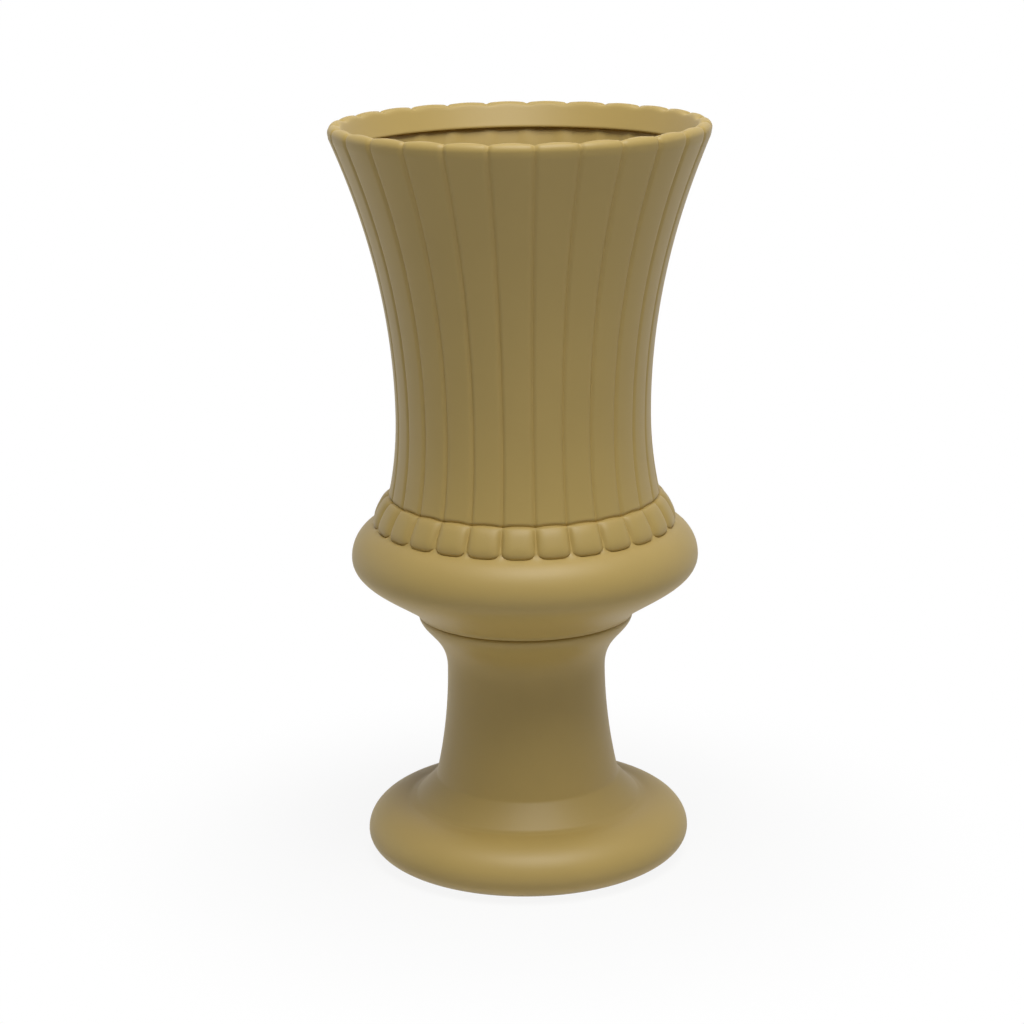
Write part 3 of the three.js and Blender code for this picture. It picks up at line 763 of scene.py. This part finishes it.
# %% The bolt
def bolt():
    """A hexagon head with trimmed corners above z = 0, and a threaded shank below it."""
    columns = 72
    angle = np.arange(columns) / columns * 2 * math.pi
    flat = HEX_ACROSS / 2
    hexagon = flat / np.cos((angle + math.pi / 6) % (math.pi / 3) - math.pi / 6)
    corner = hexagon.max()
    root = BOLT_RADIUS - THREAD_DEPTH
    rows = []

    def row(radius, height):
        rows.append((np.broadcast_to(radius, columns), np.full(columns, float(height))))

    row(0, HEX_HEIGHT - HEX_DISH)
    row(flat * 0.55, HEX_HEIGHT - HEX_DISH)
    row(flat * 0.6, HEX_HEIGHT)
    row(flat * 0.97, HEX_HEIGHT)
    for share in (0.2, 0.5, 1.0):
        row(np.minimum(hexagon, flat + (corner - flat) * share), HEX_HEIGHT - HEX_CHAMFER * share)
    for height in (HEX_HEIGHT / 2, 0.25):
        row(hexagon, height)
    row(hexagon - 0.25, 0)
    row(BOLT_RADIUS + 0.4, 0)
    row(BOLT_RADIUS, -0.4)
    row(BOLT_RADIUS, -THREAD_START + 0.5)
    for height in np.arange(-THREAD_START, -BOLT_LENGTH + 1.0, -THREAD_PITCH / THREAD_ROWS):
        phase = (height / THREAD_PITCH + angle / (2 * math.pi)) % 1
        ridge = np.clip(1.75 - 2.5 * np.abs(2 * phase - 1), 0, 1)  # a flat crest between steep flanks
        fade = smooth_step(-height, THREAD_START, THREAD_START + THREAD_FADE)
        row(BOLT_RADIUS - THREAD_DEPTH * fade * (1 - ridge), height)
    row(root, -BOLT_LENGTH + 0.6)
    row(root - 0.5, -BOLT_LENGTH)
    row(0, -BOLT_LENGTH)
    radius, height = (np.array(part) for part in zip(*rows))
    return turn_rows(radius, height)


# %% [markdown]
# ### The wing nut
# Its hub is turned like a washer. A wing is a softened outline laid in a few layers, the outer ones a
# little smaller, which rounds its edge. Small solids join well with Boolean modifiers, so these make the
# hub and its two wings a single body.

# %% The wing nut
HUB_OUTLINE = [(4.3, 0), (8.0, 0), (6.4, -8.0), (4.3, -8.0)]
HUB_COLUMNS = 48
WING_OUTLINE = [
    (5.2, -1.8), (10.0, -2.6), (16.5, -4.6), (19.0, -9.0), (17.6, -13.0), (12.5, -12.2), (8.5, -8.6),
    (5.2, -6.6),
]
WING_LAYERS = [(1.5, 0.93), (1.25, 0.98), (0.8, 1.0), (-0.8, 1.0), (-1.25, 0.98), (-1.5, 0.93)]


def wing_nut():
    """A round hub with its top at z = 0, and two wings that sweep down and out from it."""
    hub = make_object("hub", *turned(soften(HUB_OUTLINE, 0.6, closed=True), HUB_COLUMNS))
    edge = soften(WING_OUTLINE, 2.2, closed=True)[:-1]
    count = len(edge)
    middle = edge.mean(0)
    points = [
        (middle[0] + (x - middle[0]) * share, y, middle[1] + (z - middle[1]) * share)
        for y, share in WING_LAYERS
        for x, z in edge
    ]
    faces = [list(range(count)), list(range(len(points) - count, len(points)))[::-1]]
    for layer in range(len(WING_LAYERS) - 1):
        faces += band(layer * count, count)
    for way in (1, -1):
        wing = make_object("wing", [(x * way * MM, y * way * MM, z * MM) for x, y, z in points], faces)
        join = hub.modifiers.new("join", "BOOLEAN")
        join.operation = "UNION"
        join.solver = "EXACT"
        join.object = wing
    solid = bpy.data.meshes.new_from_object(hub.evaluated_get(bpy.context.evaluated_depsgraph_get()))
    vertices = [tuple(vertex.co) for vertex in solid.vertices]
    faces = [list(face.vertices) for face in solid.polygons]
    for part in [ob for ob in bpy.data.objects if ob.name.split(".")[0] in ("hub", "wing")]:
        bpy.data.objects.remove(part)
    return vertices, faces


# %% [markdown]
# ### Plugs and pads
# A drain plug has a tapered stem, a flange that lies on the floor and a grip to pull it out by. A pad is a
# disc under the flange of the foot, with a barbed stem that holds it in its hole.

# %% Outlines of a plug and of a pad
PLUG_OUTLINE = [
    (0, -7.5), (4.5, -7.5), (DRAIN_RADIUS - SEAT_GAP, SEAT_GAP), (9.5, SEAT_GAP), (9.5, 1.5), (8.7, 2.6),
    (3.7, 3.2), (2.9, 4.2), (2.9, 8.0), (4.6, 10.6), (4.6, 12.2), (3.6, 13.0), (0, 13.0),
]
PADS = 4
PAD_CIRCLE = 101.0
pad_top = BASE_Z - SEAT_GAP
barb_z = flange_top + SEAT_GAP
barb_end = barb_z + 2.7
PAD_OUTLINE = [
    (0, 0), (9.2, 0), (10.0, 0.8), (10.0, pad_top), (3.0, pad_top), (3.0, barb_z), (4.2, barb_z),
    (2.0, barb_end), (0, barb_end),
]

print("a plug is", PLUG_OUTLINE[-1][1] - PLUG_OUTLINE[0][1], "mm tall")
print("a pad is", 2 * PAD_OUTLINE[2][0], "mm across")

# %% Set the clamp stack
seal = washer(SEAL_WASHER, 0.5)
steel_washer = washer(STEEL_WASHER, 0.25)
rubber_pieces = [
    fit_piece("seal_ring", seal, "seal_washer", "urn", (0, 0, seal_z)),
]
steel_pieces = [
    fit_piece("head_ring", steel_washer, "head_washer", "urn", (0, 0, head_washer_z)),
    fit_piece("threaded_bolt", bolt(), "clamp_bolt", "urn", (0, 0, head_z)),
    fit_piece("nut_ring", steel_washer, "nut_washer", "urn", (0, 0, nut_washer_z)),
    fit_piece("winged_nut", wing_nut(), "wing_nut", "urn", (0, 0, wing_nut_z)),
]

# %% Set the plugs and the pads
for n, (x, y) in enumerate(drain_centres, 1):
    rubber_pieces.append(fit_piece(
        f"stopper_{n}", turned(soften(PLUG_OUTLINE, 0.7)), f"drain_plug_{n}", f"plug_{n}",
        (x / MM, y / MM, floor_top),
    ))
for n in range(PADS):
    angle = math.pi / 4 + n * math.pi / 2
    rubber_pieces.append(fit_piece(
        f"pad_{n + 1}", turned(soften(PAD_OUTLINE, 0.5)), f"foot_pad_{n + 1}", "urn",
        (PAD_CIRCLE * math.cos(angle), PAD_CIRCLE * math.sin(angle), 0),
    ))

# %% [markdown]
# ## Finishes
# The mouldings have a matte, powdery finish in one mustard tan. A single flat colour would look like raw
# plastic, so two shader node groups add what the real surface has: a slow mottling of the colour, and a
# fine grain that breaks up the shine. The steel and the rubber use the same groups with other values.

# %% Helpers for a node tree
def add_node(tree, kind, **settings):
    node = tree.nodes.new(kind)
    for name, value in settings.items():
        setattr(node, name, value)
    return node


def new_group(name, inputs, outputs):
    tree = bpy.data.node_groups.new(name, "ShaderNodeTree")
    for label, kind, value in inputs:
        socket = tree.interface.new_socket(label, in_out="INPUT", socket_type=kind)
        socket.default_value = value
    for label, kind in outputs:
        tree.interface.new_socket(label, in_out="OUTPUT", socket_type=kind)
    return tree, add_node(tree, "NodeGroupInput"), add_node(tree, "NodeGroupOutput")


# %% A slow mottling of the colour
def mottle_group():
    """A colour that drifts slowly between a base and a second tone."""
    tree, given, made = new_group(
        "slow mottle",
        [("Base", "NodeSocketColor", (1, 1, 1, 1)), ("Tone", "NodeSocketColor", (1, 1, 1, 1)),
         ("Amount", "NodeSocketFloat", 0.5), ("Scale", "NodeSocketFloat", 12.0)],
        [("Color", "NodeSocketColor")],
    )
    where = add_node(tree, "ShaderNodeTexCoord")
    noise = add_node(tree, "ShaderNodeTexNoise")
    noise.inputs["Detail"].default_value = 3.0
    noise.inputs["Roughness"].default_value = 0.45
    amount = add_node(tree, "ShaderNodeMath", operation="MULTIPLY")
    mix = add_node(tree, "ShaderNodeMix", data_type="RGBA")
    link = tree.links.new
    link(where.outputs["Object"], noise.inputs["Vector"])
    link(given.outputs["Scale"], noise.inputs["Scale"])
    link(noise.outputs["Fac"], amount.inputs[0])
    link(given.outputs["Amount"], amount.inputs[1])
    link(amount.outputs[0], mix.inputs[0])
    link(given.outputs["Base"], mix.inputs[6])
    link(given.outputs["Tone"], mix.inputs[7])
    link(mix.outputs[2], made.inputs["Color"])
    return tree


# %% A fine grain
def grain_group():
    """A fine powdery grain: a height for a Bump node, and a roughness that varies about a middle value."""
    tree, given, made = new_group(
        "fine grain",
        [("Scale", "NodeSocketFloat", 900.0), ("Roughness", "NodeSocketFloat", 0.6),
         ("Spread", "NodeSocketFloat", 0.1)],
        [("Height", "NodeSocketFloat"), ("Roughness", "NodeSocketFloat")],
    )
    where = add_node(tree, "ShaderNodeTexCoord")
    noise = add_node(tree, "ShaderNodeTexNoise")
    noise.inputs["Detail"].default_value = 4.0
    spread = add_node(tree, "ShaderNodeMath", operation="MULTIPLY_ADD")
    centred = add_node(tree, "ShaderNodeMath", operation="SUBTRACT")
    centred.inputs[1].default_value = 0.5
    link = tree.links.new
    link(where.outputs["Object"], noise.inputs["Vector"])
    link(given.outputs["Scale"], noise.inputs["Scale"])
    link(noise.outputs["Fac"], centred.inputs[0])
    link(centred.outputs[0], spread.inputs[0])
    link(given.outputs["Spread"], spread.inputs[1])
    link(given.outputs["Roughness"], spread.inputs[2])
    link(noise.outputs["Fac"], made.inputs["Height"])
    link(spread.outputs[0], made.inputs["Roughness"])
    return tree


MOTTLE = mottle_group()
GRAIN = grain_group()
print("groups:", MOTTLE.name, "and", GRAIN.name)


# %% Helpers for a material
def new_material(name):
    material = bpy.data.materials.new(name)
    material.use_nodes = True
    tree = material.node_tree
    tree.nodes.clear()
    shader = add_node(tree, "ShaderNodeBsdfPrincipled")
    out = add_node(tree, "ShaderNodeOutputMaterial")
    tree.links.new(shader.outputs[0], out.inputs["Surface"])
    return material, tree, shader


def place_group(tree, group, **values):
    node = add_node(tree, "ShaderNodeGroup", node_tree=group)
    for name, value in values.items():
        node.inputs[name].default_value = value
    return node


def join_finish(tree, shader, mottle, grain, strength, distance):
    """The mottle gives the shader its colour, and the grain gives its roughness and a fine bump."""
    bump = add_node(tree, "ShaderNodeBump")
    bump.inputs["Strength"].default_value = strength
    bump.inputs["Distance"].default_value = distance
    link = tree.links.new
    link(mottle.outputs["Color"], shader.inputs["Base Color"])
    link(grain.outputs["Roughness"], shader.inputs["Roughness"])
    link(grain.outputs["Height"], bump.inputs["Height"])
    link(bump.outputs["Normal"], shader.inputs["Normal"])


# %% [markdown]
# ### Three finishes from the same two groups
# The mustard moulding has a wide, weak shine, so its roughness is middling and its bump is faint. Zinc
# plate is a metal, and a mottle on a fine scale gives it small spangles. Rubber is nearly black, dull and
# a little dusty. A value that is the same all over a surface sits on the shader itself.

# %% The three materials
MUSTARD = (0.512, 0.366, 0.114, 1)
DEEP_MUSTARD = (0.455, 0.326, 0.101, 1)
ZINC = (0.60, 0.61, 0.62, 1)
DULL_ZINC = (0.48, 0.49, 0.50, 1)
RUBBER = (0.022, 0.022, 0.020, 1)
WORN_RUBBER = (0.045, 0.044, 0.040, 1)


def moulded_material():
    material, tree, shader = new_material("mustard moulding")
    mottle = place_group(tree, MOTTLE, Base=MUSTARD, Tone=DEEP_MUSTARD, Amount=0.8, Scale=14.0)
    grain = place_group(tree, GRAIN, Scale=1100.0, Roughness=0.48, Spread=0.16)
    shader.inputs["Specular IOR Level"].default_value = 0.45
    join_finish(tree, shader, mottle, grain, 0.10, 0.0004)
    return material


def steel_material():
    material, tree, shader = new_material("zinc plate")
    mottle = place_group(tree, MOTTLE, Base=ZINC, Tone=DULL_ZINC, Amount=1.0, Scale=220.0)
    grain = place_group(tree, GRAIN, Scale=2400.0, Roughness=0.34, Spread=0.2)
    shader.inputs["Metallic"].default_value = 1.0
    join_finish(tree, shader, mottle, grain, 0.12, 0.0002)
    return material


def rubber_material():
    material, tree, shader = new_material("black rubber")
    mottle = place_group(tree, MOTTLE, Base=RUBBER, Tone=WORN_RUBBER, Amount=0.8, Scale=90.0)
    grain = place_group(tree, GRAIN, Scale=1600.0, Roughness=0.72, Spread=0.2)
    join_finish(tree, shader, mottle, grain, 0.2, 0.0003)
    return material


# %% Coat every piece
moulded = moulded_material()
steel = steel_material()
rubber = rubber_material()
SLOT_MATERIALS = {"moulded_shell": moulded, "plated_steel": steel, "black_rubber": rubber}


def coat(piece, material):
    piece.data.materials.clear()
    piece.data.materials.append(material)


for pieces, material in (((bowl, stand), moulded), (steel_pieces, steel), (rubber_pieces, rubber)):
    for piece in pieces:
        coat(piece, material)
    print(material.name, "on", len(pieces), "pieces")
for part in frame["record"]["subparts"]:
    coat(frame["nodes"][part["node"]], SLOT_MATERIALS[part["material_slot"]])

# %% [markdown]
# ## The floor and the light
# The photograph has a pure white ground and soft studio light from above. More light would wash the urn
# out, so the floor and the world are white only to the camera and in reflections. To all other light the
# floor is a plain grey that throws some of it back up at the urn, and the world is almost dark. A faint
# shade stays on the floor round the urn.

# %% What the camera and reflections see
def white_to_eye(tree):
    """1 for a ray that comes straight from the camera or off something shiny or clear, otherwise 0."""
    path = add_node(tree, "ShaderNodeLightPath")
    direct = add_node(tree, "ShaderNodeMath", operation="MAXIMUM")
    any_way = add_node(tree, "ShaderNodeMath", operation="MAXIMUM")
    tree.links.new(path.outputs["Is Camera Ray"], direct.inputs[0])
    tree.links.new(path.outputs["Is Glossy Ray"], direct.inputs[1])
    tree.links.new(direct.outputs[0], any_way.inputs[0])
    tree.links.new(path.outputs["Is Transmission Ray"], any_way.inputs[1])
    return any_way.outputs[0]


# %% The floor's material
FLOOR_GREY = (0.74, 0.74, 0.74, 1)
SHADOW_SHARE = 0.1  # how much of the floor beside the urn shows its real, shaded light
SHADOW_NEAR = 0.13  # metres from the axis
SHADOW_FAR = 0.42


def floor_material():
    """White to the camera and to reflections, with a soft share of real shading near the urn."""
    material = bpy.data.materials.new("white floor")
    material.use_nodes = True
    tree = material.node_tree
    tree.nodes.clear()
    diffuse = add_node(tree, "ShaderNodeBsdfDiffuse")
    diffuse.inputs["Color"].default_value = FLOOR_GREY
    glow = add_node(tree, "ShaderNodeEmission")
    glow.inputs["Color"].default_value = (1, 1, 1, 1)
    where = add_node(tree, "ShaderNodeTexCoord")
    reach = add_node(tree, "ShaderNodeVectorMath", operation="LENGTH")
    plain = add_node(tree, "ShaderNodeMapRange", interpolation_type="SMOOTHSTEP")
    plain.inputs["From Min"].default_value = SHADOW_NEAR
    plain.inputs["From Max"].default_value = SHADOW_FAR
    plain.inputs["To Min"].default_value = 1 - SHADOW_SHARE
    seen = white_to_eye(tree)
    share = add_node(tree, "ShaderNodeMath", operation="MULTIPLY")
    both = add_node(tree, "ShaderNodeMixShader")
    out = add_node(tree, "ShaderNodeOutputMaterial")
    link = tree.links.new
    link(where.outputs["Object"], reach.inputs[0])
    link(reach.outputs["Value"], plain.inputs["Value"])
    link(seen, share.inputs[0])
    link(plain.outputs["Result"], share.inputs[1])
    link(share.outputs[0], both.inputs[0])
    link(diffuse.outputs[0], both.inputs[1])
    link(glow.outputs[0], both.inputs[2])
    link(both.outputs[0], out.inputs["Surface"])
    return material


# %% Lay the floor
FLOOR_HALF = 6.0  # metres
floor_mesh = bpy.data.meshes.new("floor")
floor_corners = [(x * FLOOR_HALF, y * FLOOR_HALF, 0) for x, y in ((-1, -1), (1, -1), (1, 1), (-1, 1))]
floor_mesh.from_pydata(floor_corners, [], [(0, 1, 2, 3)])
floor = bpy.data.objects.new("floor", floor_mesh)
bpy.context.scene.collection.objects.link(floor)
floor_mesh.materials.append(floor_material())
print("floor:", 2 * FLOOR_HALF, "m across")

# %% World
WORLD_LIGHT = 0.02
world = bpy.data.worlds.new("studio")
bpy.context.scene.world = world
world.use_nodes = True
world_tree = world.node_tree
world_tree.nodes.clear()
dim = add_node(world_tree, "ShaderNodeBackground")
dim.inputs["Color"].default_value = (1, 1, 1, 1)
dim.inputs["Strength"].default_value = WORLD_LIGHT
white = add_node(world_tree, "ShaderNodeBackground")
white.inputs["Color"].default_value = (1, 1, 1, 1)
white.inputs["Strength"].default_value = 1.0
both = add_node(world_tree, "ShaderNodeMixShader")
world_out = add_node(world_tree, "ShaderNodeOutputWorld")
world_tree.links.new(white_to_eye(world_tree), both.inputs[0])
world_tree.links.new(dim.outputs[0], both.inputs[1])
world_tree.links.new(white.outputs[0], both.inputs[2])
world_tree.links.new(both.outputs[0], world_out.inputs["Surface"])
print("world light:", WORLD_LIGHT)

# %% [markdown]
# ### Lamps
# The photograph's light comes from high up, a little in front of the urn and to its right, and it is soft.
# One large square lamp gives it, and two weak ones at the sides keep the flutes at the edges from going
# dark.

# %% Lamps
def add_lamp(name, azimuth, elevation, distance, size, power):
    """A soft square lamp that faces the middle of the urn. Azimuth 0 is the front, 90 the urn's +X side."""
    data = bpy.data.lights.new(name, "AREA")
    data.shape = "SQUARE"
    data.size = size
    data.energy = power
    lamp = bpy.data.objects.new(name, data)
    bpy.context.scene.collection.objects.link(lamp)
    turn, rise = math.radians(azimuth), math.radians(elevation)
    way = Vector((math.sin(turn) * math.cos(rise), -math.cos(turn) * math.cos(rise), math.sin(rise)))
    middle = Vector((0, 0, HEIGHT * MM / 2))
    lamp.location = middle + way * distance
    lamp.rotation_euler = way.to_track_quat("Z", "Y").to_euler()
    print(name, power, "W")


add_lamp("top light", azimuth=20, elevation=71, distance=3.0, size=2.0, power=92)
add_lamp("left fill", azimuth=-100, elevation=8, distance=3.2, size=2.4, power=8)
add_lamp("right fill", azimuth=100, elevation=10, distance=3.2, size=2.4, power=5)
bpy.context.scene.view_settings.view_transform = "Standard"
